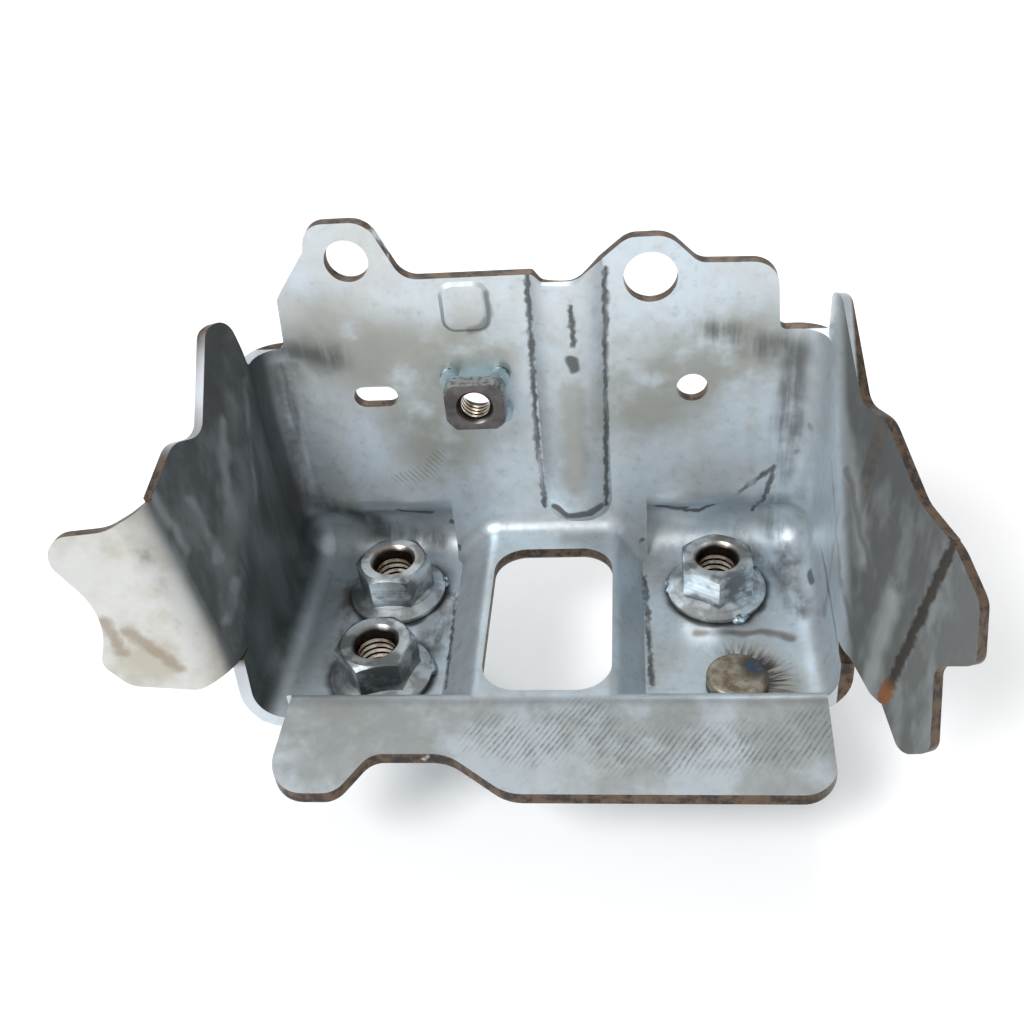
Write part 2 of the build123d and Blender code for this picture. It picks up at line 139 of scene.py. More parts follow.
# Where the photograph's marks lie on the sheet, in millimetres
GALL_LEFT = [(-40.3, 42.7, 75.4), (-41.2, 42.7, 35.7), (-40.5, 42.7, 17.3)]
GALL_RIGHT = [(-24.7, 42.7, 76.3), (-26.6, 42.0, 18.0)]
BEAD_FOOT = [(-38.1, 41.7, 17.7), (-35.9, 41.5, 15.5), (-29.9, 41.3, 15.7), (-28.7, 41.2, 17.8)]
BEAD_STREAK = [(-31.8, 40.4, 69.3), (-31.8, 40.4, 60.6)]
BEAD_SPOT = [(-32.0, 40.4, 57.1), (-31.9, 40.4, 54.7)]
BEAD_RUB = [(-32.7, 40.4, 48.6), (-33.3, 40.4, 24.8)]
LEFT_SCUFF = [(-75.6, 44.2, 15.9), (-69.0, 46.1, 13.6)]
SWOOSH_HEAD = [(-14.8, 45.7, 14.2), (-8.7, 46.6, 12.7)]
SWOOSH = [(-8.7, 46.9, 11.9), (-5.0, 47.0, 11.7), (4.6, 42.7, 21.1), (10.7, 42.7, 27.0),
          (9.0, 43.1, 17.8), (6.9, 47.1, 11.3)]
LEFT_CLOUD = [(-82.7, 42.7, 63.9), (-77.0, 42.7, 60.1), (-60.4, 42.7, 55.7), (-53.6, 42.7, 59.0)]
LEFT_CLOUD_LOW = [(-66.2, 42.7, 44.6), (-62.8, 42.7, 36.5)]
RIGHT_CLOUD = [(-18.4, 42.7, 45.3), (4.2, 42.7, 57.7)]
PAD_LEFT_EDGE = [(-63.9, 47.2, 9.6), (-61.9, 42.4, 5.5), (-61.7, 27.1, 2.6), (-60.2, -1.3, 3.7)]
PAD_RIGHT_EDGE = [(-18.6, 42.3, 6.8), (-18.2, 33.0, 2.6), (-17.3, 0.3, 2.6)]
PAD_CREASE = [(-6.6, 15.5, 2.6), (6.1, 15.6, 2.6), (12.3, 14.3, 2.6)]
GLINT = [(12.7, 10.1, 2.6), (14.0, 0.8, 2.7)]
BOSS_SHADE = [(-49.3, 42.2, 71.9), (-48.5, 42.6, 67.7), (-50.4, 42.2, 64.8), (-53.4, 42.4, 64.0)]
RIPPLE = [(-73.0, 42.7, 25.8), (-67.4, 42.7, 27.8), (-63.3, 42.7, 32.4)]
WALL_SPOT = [(18.5, 31.2, 5.8), (18.5, 28.4, 5.9)]
LEFT_V1 = [(-106.1, 6.5, 48.8), (-102.7, 3.6, 36.8)]
LEFT_V2 = [(-110.4, 1.1, 53.8), (-106.4, -0.4, 42.0)]
TAB_SMEAR = [(-112.5, -5.7, 45.2), (-106.8, -9.5, 27.8)]
TAB_FOLD_1 = [(-122.4, -10.6, 32.7), (-120.3, -12.1, 26.0)]
TAB_FOLD_2 = [(-118.3, -10.8, 30.1), (-109.8, -12.1, 21.3)]
WING_BEND = [(34.7, -8.0, 45.2), (25.5, -14.3, 14.2)]
LEFT_LIGHTS = [
    [(-102.3, 22.6, 56.6), (-100.9, 10.8, 40.2)],
    [(-99.5, 32.8, 59.6), (-99.3, 21.2, 37.3)],
    [(-100.4, 2.7, 29.9), (-101.4, -3.6, 25.6)],
]
WING_LIGHTS = [
    [(20.2, 23.5, 51.5), (22.4, 11.6, 41.0), (22.8, 4.3, 32.2)],
    [(26.6, -4.5, 30.0), (23.3, -11.1, 12.9)],
]
SMUDGES_AND_CORNER_SHADE = [
    [(-93.8, 42.7, 60.8), (-83.4, 42.7, 57.9)],
    [(-4.4, 42.7, 61.3), (10.3, 42.7, 56.8)],
    [(-93.9, 42.7, 55.9), (-97.8, 41.0, 24.0), (-81.9, 47.2, 10.1)],
    [(13.5, 42.7, 56.1), (12.9, 42.7, 25.8)],
    [(10.4, 43.6, 16.8), (13.0, 44.8, 4.0), (14.8, 35.4, 2.9)],
    [(3.1, 45.3, 4.5), (13.5, 33.9, 2.6), (15.3, 21.8, 3.1)],
    [(-81.8, 47.0, 7.7), (-67.2, 45.9, 5.2)],
    [(-65.6, 30.7, 2.6), (-63.2, 20.5, 2.6), (-65.4, 11.1, 2.6)],
    [(-87.1, 31.1, 2.6), (-85.0, 8.3, 2.6)],
]
WALL_LINES = [
    [(16.6, 41.8, 39.5), (19.4, 28.5, 17.3), (20.3, -3.0, 12.8)],
    [(15.3, 42.4, 31.3), (15.9, 21.5, 3.3)],
    [(19.4, 33.7, 47.2), (21.2, -3.2, 18.4)],
    [(21.0, 16.7, 44.4), (23.9, 1.9, 31.8)],
    [(26.8, 4.1, 42.0), (27.5, -2.7, 34.5)],
    [(-103.4, 17.0, 53.2), (-102.9, 6.8, 40.9)],
    [(-98.1, 40.2, 31.2), (-99.0, 38.6, 21.0)],
]
FLANGE_FAN = [(-48.8, -18.6, 8.9), (-42.9, -20.6, 8.4), (-37.1, -19.6, 8.7), (-30.5, -14.5, 10.0),
              (-24.7, -21.6, 8.1), (7.9, -20.6, 8.4), (12.9, -17.3, 9.3)]
FAN_TURN = -38
FAN_SPACING = 0.95
RIPPLE_SPACING = 1.1


class Wire:
    """A socket in a material; arithmetic on it adds Math nodes."""

    def __init__(self, paint, socket):
        self.paint = paint
        self.socket = socket

    def math(self, operation, *values):
        return self.paint.add("ShaderNodeMath", {"operation": operation}, dict(enumerate(values)))

    def __add__(self, other):
        return self.math("ADD", self, other)

    def __radd__(self, other):
        return self.math("ADD", other, self)

    def __sub__(self, other):
        return self.math("SUBTRACT", self, other)

    def __rsub__(self, other):
        return self.math("SUBTRACT", other, self)

    def __mul__(self, other):
        return self.math("MULTIPLY", self, other)

    def __rmul__(self, other):
        return self.math("MULTIPLY", other, self)

    def __pow__(self, other):
        return self.math("POWER", self, other)

    def __abs__(self):
        return self.math("ABSOLUTE", self)

    def smaller(self, other):
        return self.math("MINIMUM", self, other)

    def larger(self, other):
        return self.math("MAXIMUM", self, other)

    def wave(self):
        return self.math("SINE", self)

    def ramp(self, low, high):
        """0 at low, 1 at high, smooth between them; low may be the larger one."""
        settings = {"interpolation_type": "SMOOTHSTEP"}
        inputs = {"Value": self, "From Min": low, "From Max": high}
        return self.paint.add("ShaderNodeMapRange", settings, inputs)


class Paint:
    """A material under construction, on Object coordinates in millimetres."""

    def __init__(self, name):
        self.material = bpy.data.materials.new(name)
        self.material.use_nodes = True
        self.tree = self.material.node_tree
        self.shader = self.tree.nodes["Principled BSDF"]
        place = self.add("ShaderNodeTexCoord", out="Object")
        self.at = self.vector("SCALE", {0: place, "Scale": 1000.0})
        self.x, self.y, self.z = self.split(self.at)
        self.normal = self.add("ShaderNodeTexCoord", out="Normal")

    def add(self, kind, settings=None, inputs=None, out=0):
        node = self.tree.nodes.new(kind)
        for key, value in (settings or {}).items():
            setattr(node, key, value)
        for key, value in (inputs or {}).items():
            self.plug(node.inputs[key], value)
        return Wire(self, node.outputs[out])

    def plug(self, socket, value):
        if isinstance(value, Wire):
            self.tree.links.new(value.socket, socket)
        elif socket.type == "RGBA":
            socket.default_value = (*value, 1)
        else:
            socket.default_value = value

    def set(self, **named):
        for key, value in named.items():
            self.plug(self.shader.inputs[key.replace("_", " ")], value)

    def vector(self, operation, inputs, out=0):
        return self.add("ShaderNodeVectorMath", {"operation": operation}, inputs, out)

    def split(self, vector):
        node = self.add("ShaderNodeSeparateXYZ", inputs={0: vector}).socket.node
        return [Wire(self, socket) for socket in node.outputs]

    def dot(self, vector, direction):
        return self.vector("DOT_PRODUCT", {0: vector, 1: tuple(direction)}, out=1)

    def mix(self, factor, first, second):
        """The first colour where the factor is 0, the second where it is 1."""
        return self.add("ShaderNodeMix", {"data_type": "RGBA"}, {0: factor, 6: first, 7: second}, out=2)

    def noise(self, size, detail=3.0, stretch=(1, 1, 1), at=None, rough=0.55):
        """Cloudy noise from 0 to 1 whose blots are about size millimetres wide."""
        stretched = self.vector("DIVIDE", {0: at or self.at, 1: tuple(size * part for part in stretch)})
        inputs = {"Vector": stretched, "Scale": 1.0, "Detail": detail, "Roughness": rough}
        return self.add("ShaderNodeTexNoise", None, inputs)

    def wander(self, size, reach):
        """The place, pushed about by up to half the reach in blots of the given size."""
        spread = self.vector("DIVIDE", {0: self.at, 1: (size, size, size)})
        push = self.add("ShaderNodeTexNoise", None, {"Vector": spread, "Scale": 1.0, "Detail": 1.0}, out=1)
        push = self.vector("SUBTRACT", {0: push, 1: (0.5, 0.5, 0.5)})
        return self.vector("ADD", {0: self.at, 1: self.vector("SCALE", {0: push, "Scale": reach})})

    def far(self, at, *lines):
        """The distance in millimetres from the nearest of the lines through the given points."""
        nearest = None
        runs = [(Vector(a), Vector(b)) for line in lines for a, b in zip(line, line[1:])]
        for start, end in runs:
            run = end - start
            away = self.vector("SUBTRACT", {0: at, 1: tuple(start)})
            share = self.dot(away, run / run.length_squared)
            share = self.add("ShaderNodeClamp", None, {0: share})
            share = self.vector("SCALE", {0: tuple(run), "Scale": share})
            reach = self.vector("DISTANCE", {0: away, 1: share}, out=1)
            nearest = nearest.smaller(reach) if nearest else reach
        return nearest

    def off(self, at, point):
        """The distance in millimetres from a point."""
        return self.vector("DISTANCE", {0: at, 1: point}, out=1)

    def strokes(self, at, core, edge, *lines):
        """1 within core of the lines, fading to 0 at edge."""
        return self.far(at, *lines).ramp(edge, core)

    def bump(self, height, depth, strength=1.0):
        """Feeds the normal with a height that runs over depth millimetres."""
        inputs = {"Strength": strength, "Distance": depth * MM, "Height": height}
        self.set(Normal=self.add("ShaderNodeBump", None, inputs))


def dress(thing, paint):
    thing.data.materials.clear()
    thing.data.materials.append(paint.material)


class Panel:
    """A flat part of the sheet: a point on its inner face and its outward normal."""

    def __init__(self, origin, outward):
        self.origin = Vector(origin)
        self.outward = Vector(outward).normalized()

    def cut(self, paint, limit):
        """1 on the sheet's cut edges in this panel's plane."""
        away = paint.vector("SUBTRACT", {0: paint.at, 1: tuple(self.origin + self.outward * SHEET / 2)})
        level = abs(paint.dot(away, self.outward)).ramp(SHEET / 2 + 0.3, SHEET / 2 + 0.05)
        return level * abs(paint.dot(paint.normal, self.outward)).ramp(0.5, 0.3) * limit

    def inside(self, paint):
        """1 where the surface faces the tray's inner side."""
        return paint.dot(paint.normal, -self.outward).ramp(0.55, 0.9)


LEFT_WING = Panel((LEFT_X, 35.2, 62.6), (-0.866, 0.3687, -0.3377))
RIGHT_WING = Panel((RIGHT_X, 31.0, 59.6), (0.829, 0.4478, -0.3349))
LEFT_TAB = Panel((-111.7726, -4.2684, 51.4933), (-0.1208, 0.9592, -0.2556))
RIGHT_TAB = Panel((34.2251, -7.9321, 44.2413), (0.7928, 0.5074, -0.3377))
REAR_WALL = Panel((0, WALL_Y, 0), (0, 1, 0))
LEFT_WALL = Panel((LEFT_X, 0, 0), (-1, 0, 0))
RIGHT_WALL = Panel((RIGHT_X, 0, 0), (1, 0, 0))
SLOPE = radians(FLANGE_SLOPE)
FLANGE = Panel((0, -10.5, 11.1), (0, sin(SLOPE), -cos(SLOPE)))


def pressed_steel():
    """Bare drawn sheet: bluish, clouded with oil stain, scuffed by the die and sooty at the welds."""
    paint = Paint("pressed steel")
    x, y, z = paint.x, paint.y, paint.z
    wavy = paint.wander(6.0, 3.4)
    ragged = paint.wander(1.6, 1.5)
    clouds = paint.noise(16, 4, rough=0.62)
    grain = paint.noise(2.4, 3, rough=0.68)
    streaks = paint.noise(3.4, 3, stretch=(1, 2.2, 9), rough=0.62)
    long_streaks = paint.noise(7, 1, stretch=(1, 3, 9))

    rear = REAR_WALL.inside(paint) * y.ramp(30, 36)
    flange = FLANGE.inside(paint) * y.ramp(-10, -12)
    left_side = paint.dot(paint.normal, (1, 0, 0)).ramp(0.2, 0.8) * x.ramp(-90, -93)
    left_tab = LEFT_TAB.inside(paint) * x.ramp(-100, -103)
    right_wall = paint.dot(paint.normal, (-1, 0, 0)).ramp(0.55, 0.85) * x.ramp(12, 15) * x.ramp(23, 20)
    right_wing = RIGHT_WING.inside(paint) * x.ramp(19.5, 21.5)
    pads = paint.dot(paint.normal, (0, 0, 1)).ramp(0.7, 0.95) * z.ramp(8, 5) * y.ramp(-10, -8)
    to_front = paint.vector("SUBTRACT", {0: (-40, -60, 60), 1: paint.at})
    inner = paint.vector("DOT_PRODUCT", {0: paint.normal, 1: to_front}, out=1).ramp(-5, 5)

    # The sheet itself
    color = paint.mix(clouds.ramp(0.35, 0.68), BLUE_STEEL, GREY_STEEL)
    color = paint.mix(long_streaks.ramp(0.5, 0.75) * 0.25, color, BEIGE)
    color = paint.mix(grain.ramp(0.5, 0.8) * 0.3, color, SMOKE)
    color = paint.mix(grain.ramp(0.45, 0.3) * 0.25, color, PALE)

    sheet = color

    # Oil stain and rub on the rear wall
    stain = paint.strokes(wavy, 4, 15, LEFT_CLOUD, LEFT_CLOUD_LOW, RIGHT_CLOUD)
    stain = stain.larger(paint.strokes(wavy, 1.2, 4.5, BEAD_RUB) * 0.8) * rear * clouds.ramp(0.2, 0.5)
    color = paint.mix(stain * 0.85, color, OIL_STAIN)
    color = paint.mix(rear * z.ramp(62, 70) * clouds.ramp(0.3, 0.7) * 0.35, color, PALE)

    # Painted shade on the left wall and wing: charcoal streaked with smoke grey, darkest on the wing's top
    left_shade = paint.mix(streaks.ramp(0.40, 0.70) * 0.8, CHARCOAL, SMOKE)
    left_shade = paint.mix(long_streaks.ramp(0.52, 0.72) * 0.4 * x.ramp(-105, -98), left_shade, GREY_STEEL)
    left_shade = paint.mix(z.ramp(52, 66) * x.ramp(-101, -103) * 0.8, left_shade, WING_SHADE)
    color = paint.mix(left_side * 0.92, color, left_shade)
    # The right wing: dark grey, paler in streaks lower down
    wing_tone = paint.mix(streaks.ramp(0.45, 0.7) * 0.7 * z.ramp(66, 45), RIGHT_WING_DARK, RIGHT_WING_PALE)
    color = paint.mix(right_wing * 0.92, color, wing_tone)
    tab_tone = paint.mix(clouds.ramp(0.4, 0.65), TAB_PALE, TAB_BEIGE)
    color = paint.mix(left_tab, color, tab_tone)
    wall_streaks = right_wall * streaks.ramp(0.52, 0.66) * long_streaks.ramp(0.38, 0.55)
    color = paint.mix(wall_streaks * 0.6, color, SMOKE)
    light = paint.strokes(wavy, 0.2, 1.9, LEFT_V1, LEFT_V2, *LEFT_LIGHTS) * streaks.ramp(0.25, 0.6)
    color = paint.mix(light * 0.55, color, LEFT_SHEEN)
    lit = paint.strokes(wavy, 0.4, 3.2, *WING_LIGHTS)
    color = paint.mix(lit * right_wing.larger(right_wall) * 0.55, color, RIGHT_SHEEN)

    # Brown-grey mottling and a band of fine slanting rub lines on the front flange
    color = paint.mix(flange * (0.25 + 0.45 * clouds.ramp(0.4, 0.62)), color, FLANGE_FILM)
    turn = radians(FAN_TURN)
    across = (x * cos(turn) + y * sin(turn) + clouds * 2.0) * (2 * pi / FAN_SPACING)
    fan = across.wave().ramp(-0.2, 0.9) * paint.strokes(wavy, 2, 6.5, FLANGE_FAN)
    color = paint.mix(flange * fan * grain.ramp(0.25, 0.7) * 0.75, color, SMOKE)
    # Painted shade in a band along the fold at the flange's rear edge
    color = paint.mix(flange * y.ramp(-13.5, -10.8) * 0.5, color, SMOKE)

    # Galling where the die gripped (both sides of the bead, its foot and the ridges of the pockets), scuffs,
    # streaks and smudges, with painted shade in the tray's corners and along the boss's edge
    thin = paint.strokes(ragged, 0.25, 0.95, GALL_LEFT, GALL_RIGHT, BEAD_STREAK, SWOOSH, PAD_LEFT_EDGE,
                         PAD_RIGHT_EDGE)
    thick = paint.strokes(wavy, 0.7, 1.5, BEAD_FOOT, BEAD_SPOT, LEFT_SCUFF, SWOOSH_HEAD, WALL_SPOT)
    # Smudges, and painted shade along the tray's corners
    smudge_and_shade = paint.strokes(wavy, 0.5, 5.5, *SMUDGES_AND_CORNER_SHADE) * (0.5 * streaks + 0.5 * clouds).ramp(0.36, 0.60)
    lines = paint.strokes(wavy, 0.3, 1.5, *WALL_LINES) * long_streaks.ramp(0.3, 0.5)
    shade = paint.strokes(wavy, 0.3, 1.6, BOSS_SHADE) * 0.55
    dark = (thin * streaks.ramp(0.2, 0.5) * 0.9).larger(thick * 0.85).larger(smudge_and_shade * 0.8)
    dark = dark.larger(lines * 0.7).larger(shade) * inner
    color = paint.mix(dark, color, CHARCOAL)
    crease = paint.strokes(wavy, 0.3, 1.8, PAD_CREASE)
    color = paint.mix(crease * inner * 0.7, color, BROWN)
    ripple = (x * 0.8 + z * 0.6 + clouds) * (2 * pi / RIPPLE_SPACING)
    ripple = ripple.wave().ramp(0.2, 0.9) * paint.strokes(wavy, 0.8, 2.6, RIPPLE) * rear
    color = paint.mix(ripple * 0.45, color, RIPPLE_BROWN)

    # Soot and heat tint round the bolt's head and the nuts, and painted shade in a dark ring hugging each
    # nut's flange
    radius = (x * x + y * y) ** 0.5
    angle = y.math("ARCTAN2", y, x)
    rays = paint.add("ShaderNodeCombineXYZ", None, {0: angle * 5.0, 1: radius * 0.06})
    rays = paint.noise(0.35, 3, at=rays)
    burst = (radius - (8.0 + rays * 9.0)).ramp(1, -5) * angle.ramp(-0.7, 0.1) * angle.ramp(2.3, 1.4) * pads
    heat = radius.ramp(16, 8) * pads * angle.ramp(-0.9, 0.0) * angle.ramp(1.9, 1.0)
    color = paint.mix(heat * 0.6, color, HEAT_STRAW)
    color = paint.mix(burst * rays.ramp(0.3, 0.62) * 0.9, color, SOOT_AND_SHADE)
    for nut_x, nut_y in NUTS.values():
        ring = paint.off(wavy, (nut_x, nut_y, SHEET))
        color = paint.mix(pads * ring.ramp(15, 10.5) * 0.45 * clouds.ramp(0.35, 0.6), color, BROWN)
        # Weld soot and painted shade in a dark ring close round the flange
        color = paint.mix(pads * ring.ramp(12.6, 11) * 0.8, color, SOOT_AND_SHADE)
    glint = paint.strokes(ragged, 0.4, 1.3, GLINT) * grain.ramp(0.4, 0.7)
    color = paint.mix(glint * 0.7, color, GLINT_STRAW)

    # Creases and smears on the tabs and the right wing
    folds = paint.strokes(ragged, 0.4, 2.0, TAB_FOLD_1, TAB_FOLD_2)
    color = paint.mix(folds * left_tab * 0.7, color, FOLD_BROWN)
    smear = paint.strokes(ragged, 0.4, 2.0, TAB_SMEAR)
    color = paint.mix(smear * left_tab * clouds.ramp(0.45, 0.62) * 0.7, color, SMOKE)
    bend = paint.far(ragged, WING_BEND)
    color = paint.mix(bend.ramp(1.5, 0.6) * inner * 0.9, color, BEND_BLACK)
    color = paint.mix(bend.ramp(1.9, 0.9) * inner * z.ramp(19, 15), color, RUST)

    # The sheared edges of the sheet: dark brown-black as painted shade, with a painted highlight on the left
    # side's edges, and lighter in blots
    outside = x.ramp(-102.1, -103).larger(x.ramp(22.2, 23))
    cut = REAR_WALL.cut(paint, z.ramp(20, 24) * x.ramp(-101, -100) * x.ramp(21, 20))
    cut = cut.larger(FLANGE.cut(paint, y.ramp(-12, -13)))
    for panel in (LEFT_WING, RIGHT_WING, LEFT_TAB, RIGHT_TAB):
        cut = cut.larger(panel.cut(paint, outside))
    for panel in (LEFT_WALL, RIGHT_WALL):
        cut = cut.larger(panel.cut(paint, y.ramp(8, 4)))
    window = z.ramp(8, 9) * x.ramp(-53, -52) * x.ramp(-24, -25) * y.ramp(36, 35) * y.ramp(-10.5, -9.5)
    cut = cut.larger(window * abs(paint.dot(paint.normal, (0, 0, 1))).ramp(0.5, 0.3))
    cut_edge_tone = paint.mix(grain.ramp(0.4, 0.65), BROWN, CUT_EDGE_SHADE)
    # Painted highlight where the left side's edges face the light
    bright = paint.off(wavy, (-107, 17, 70)).ramp(16, 9)
    bright = bright.larger(x.ramp(-96, -99) * z.ramp(18, 15) * y.ramp(3, 0))
    cut_edge_tone = paint.mix(bright.larger(clouds.ramp(0.66, 0.72)), cut_edge_tone, CUT_EDGE_HIGHLIGHT)
    color = paint.mix(cut, color, cut_edge_tone)

    dirt_and_shade = dark.larger(burst).larger(cut * 0.5)
    paint.set(Base_Color=color, Metallic=0.75 - 0.45 * dirt_and_shade, Roughness=0.32 + 0.24 * clouds + 0.18 * dirt_and_shade)
    paint.bump(paint.noise(7, 3, rough=0.6), 0.30, 0.6)

    # The outer side carries none of the marks
    outer = {"Base Color": paint.mix(cut, sheet, cut_edge_tone), "Metallic": 0.75 - 0.25 * cut,
             "Roughness": 0.32 + 0.24 * clouds}
    outer = paint.add("ShaderNodeBsdfPrincipled", None, outer)
    marked = Wire(paint, paint.shader.outputs[0])
    both = paint.add("ShaderNodeMixShader", None, {0: inner, 1: outer, 2: marked})
    paint.plug(paint.tree.nodes["Material Output"].inputs["Surface"], both)
    return paint


def nut_steel(name, centre, tint, depth):
    """Machined nut steel: heat tint near the weld, soot and painted shade at the foot, brown painted shade on
    the side away from the light and near-black painted shade in the bore.
    """
    paint = Paint(name)
    x, y = paint.x - centre[0], paint.y - centre[1]
    radius = (x * x + y * y) ** 0.5
    height = paint.z - SHEET
    clouds = paint.noise(5, 4)
    grain = paint.noise(0.8, 4)
    turned = paint.noise(0.5, 3, stretch=(40, 40, 1))
    color = paint.mix(clouds.ramp(0.4, 0.6), NUT_BRIGHT, NUT_DARK)
    color = paint.mix(turned.ramp(0.45, 0.7) * 0.5, color, SMOKE)
    top = height.ramp(NUT_HEIGHT - 0.9, NUT_HEIGHT - 0.2)
    rim = top * radius.ramp(NUT_FLATS / 2, NUT_BORE)
    color = paint.mix(rim * 0.55, color, tint)
    color = paint.mix(top * grain.ramp(0.6, 0.8) * 0.5, color, RUST)
    # Painted shade in brown on the side turned away from the light
    side = paint.dot(paint.normal, (0.8, 0.3, -0.4)).ramp(0.2, 0.9) * height.ramp(9.5, 5) * height.ramp(-1, 1)
    color = paint.mix(side * depth, color, BROWN)
    skirt = height.ramp(3.2, 2.2) * radius.ramp(6.8, 7.6)
    color = paint.mix(skirt * clouds.ramp(0.4, 0.7) * 0.6, color, NUT_SKIRT)
    # Weld soot and painted shade round the flange's foot
    foot = height.ramp(0.9, 0.1) * radius.ramp(9.8, 10.8)
    color = paint.mix(foot * 0.8, color, SOOT_AND_SHADE)
    # Painted shade: near-black in the bore
    bore = radius.ramp(NUT_MOUTH, NUT_BORE + 0.1)
    color = paint.mix(bore, color, NUT_BORE_SHADE)
    paint.set(Base_Color=color, Metallic=0.92, Roughness=0.14 + 0.25 * clouds + 0.12 * grain)
    paint.bump(grain * 0.5 + clouds + turned * 0.4, 0.12, 0.5)
    return paint


def thread_steel():
    """Cut threads: bright steel with brown oil in blots."""
    paint = Paint("cut thread")
    grain = paint.noise(1.5, 4)
    color = paint.mix(grain.ramp(0.4, 0.75), THREAD_BRIGHT, THREAD_OIL)
    paint.set(Base_Color=color, Metallic=0.95, Roughness=0.2 + 0.15 * grain)
    return paint


def square_nut_steel():
    """Dark phosphate skin, worn bright on its edges, with zinc on the weld feet, painted light on the faces
    turned up and painted shade in the bore.
    """
    paint = Paint("square nut steel")
    x, z = paint.x - SQUARE_NUT[0], paint.z - SQUARE_NUT[1]
    clouds = paint.noise(4, 4)
    grain = paint.noise(0.9, 4)
    front = paint.dot(paint.normal, (0, -1, 0)).ramp(0.8, 0.98)
    lit_top = paint.dot(paint.normal, (0, 0, 1)).ramp(0.3, 0.9)
    color = paint.mix(clouds.ramp(0.35, 0.65), PHOSPHATE, PHOSPHATE_DARK)
    # Painted light: the faces turned up are lighter
    color = paint.mix(lit_top * 0.6, color, SQUARE_NUT_LIT_TOP)
    edge = abs(x).ramp(4.6, 6.1).larger(abs(z).ramp(3.8, 5.3)) * (1 - front)
    color = paint.mix(edge * grain.ramp(0.35, 0.6) * 0.7, color, SQUARE_NUT_WORN)
    foot = paint.y.ramp(WALL_Y - 3.0, WALL_Y - 2.4)
    color = paint.mix(foot, color, ZINC)
    radius = (x * x + z * z) ** 0.5
    # Painted shade: near-black in the bore
    color = paint.mix(radius.ramp(4.1, 3.4), color, SQUARE_NUT_BORE_SHADE)
    paint.set(Base_Color=color, Metallic=0.8, Roughness=0.3 + 0.25 * clouds)
    paint.bump(grain * 0.6 + clouds, 0.12, 0.6)
    return paint


def bolt_steel():
    """The bolt's head with the marks of the weld: straw, brown and one blue-black spot."""
    paint = Paint("bolt steel")
    wavy = paint.wander(3.0, 2.5)
    clouds = paint.noise(3.2, 5)
    grain = paint.noise(0.7, 4)
    head = paint.z.ramp(SHEET - 0.5, SHEET)
    color = paint.mix(clouds.ramp(0.35, 0.65), BOLT_STRAW, BOLT_BROWN)
    color = paint.mix(grain.ramp(0.5, 0.8) * 0.2, color, PALE)
    spot = paint.off(wavy, (3.9, 2.0, SHEET + BOLT_HEAD_HEIGHT))
    color = paint.mix(spot.ramp(5.5, 2.0) * 0.8, color, BOLT_BURNT)
    color = paint.mix(spot.ramp(2.6, 1.6) * clouds.ramp(0.3, 0.6), color, NIGHT_BLUE)
    # Weld soot and painted shade round the foot of the head
    radius = (paint.x * paint.x + paint.y * paint.y) ** 0.5
    low = paint.z.ramp(SHEET + 2.6, SHEET + 0.6) * radius.ramp(5.4, 6.0)
    color = paint.mix(low * 0.85, color, SOOT_AND_SHADE)
    color = paint.mix(1 - head, color, BOLT_SHANK)
    paint.set(Base_Color=color, Metallic=0.8, Roughness=0.3 + 0.3 * clouds)
    paint.bump(grain * 0.5 + clouds * 1.5, 0.2, 0.7)
    return paint


def weld_metal():
    """Squeezed-out weld: bluish bright metal with dark blots."""
    paint = Paint("weld metal")
    clouds = paint.noise(1.6, 4)
    color = paint.mix(clouds.ramp(0.4, 0.62), WELD_BRIGHT, WELD_DARK)
    paint.set(Base_Color=color, Metallic=0.9, Roughness=0.22 + 0.25 * clouds)
    paint.bump(clouds, 0.3, 0.6)
    return paint


def start_piece(name):
    bpy.context.object.name = name
    bpy.ops.object.mode_set(mode="EDIT")
    bpy.ops.mesh.select_all(action="SELECT")


def finish_piece(paint, smooth=40.0):
    """Closes the piece, puts its place into its mesh, dresses it and lets it ride."""
    bpy.ops.mesh.select_all(action="SELECT")
    bpy.ops.mesh.normals_make_consistent(inside=False)
    bpy.ops.object.mode_set(mode="OBJECT")
    bpy.ops.object.transform_apply(location=True, rotation=True, scale=True)
    bpy.ops.object.shade_smooth_by_angle(angle=radians(smooth))
    thing = bpy.context.object
    dress(thing, paint)
    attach(thing, "root")
    return thing


